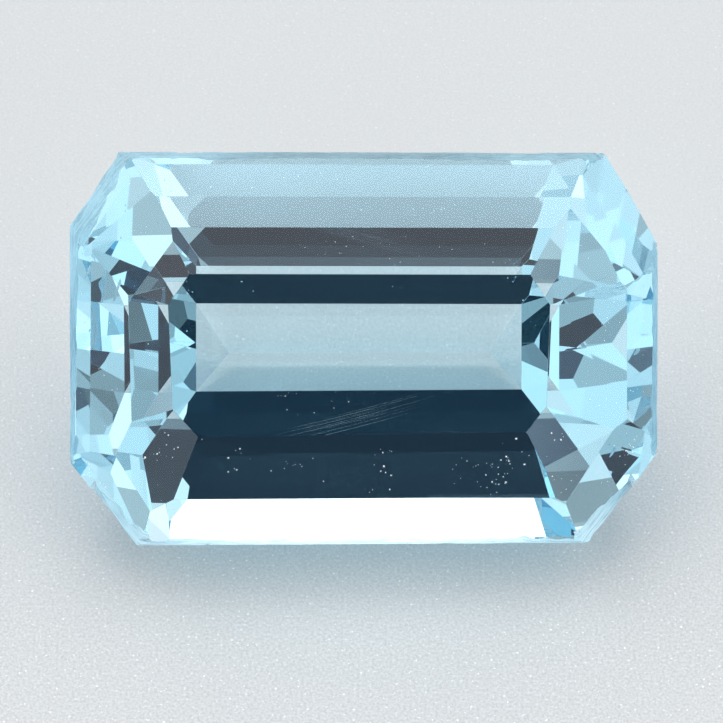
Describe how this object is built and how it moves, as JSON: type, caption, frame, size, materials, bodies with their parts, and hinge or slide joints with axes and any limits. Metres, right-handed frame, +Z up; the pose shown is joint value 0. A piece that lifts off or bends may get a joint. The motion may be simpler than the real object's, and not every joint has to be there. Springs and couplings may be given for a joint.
{
  "type": "emerald-cut aquamarine gemstone",
  "caption": "Faceted octagonal step-cut clear pale-blue gemstone, lying on a pavilion facet with its table tipped towards the viewer.",
  "frame": {"origin": "middle of the stone's footprint box, on the surface it lies on", "axes": "+X along the stone's long axis, +Z up, the table faces -Y and up, 47.4 degrees above the horizontal"},
  "size_m": [0.009, 0.005, 0.0049],
  "materials": {
    "aquamarine": "clear polished beryl, pale blue by absorption, with a frosted girdle and a few nicks and scratches"
  },
  "bodies": {
    "root": {"gemstone": "aquamarine"}
  },
  "joints": []
}
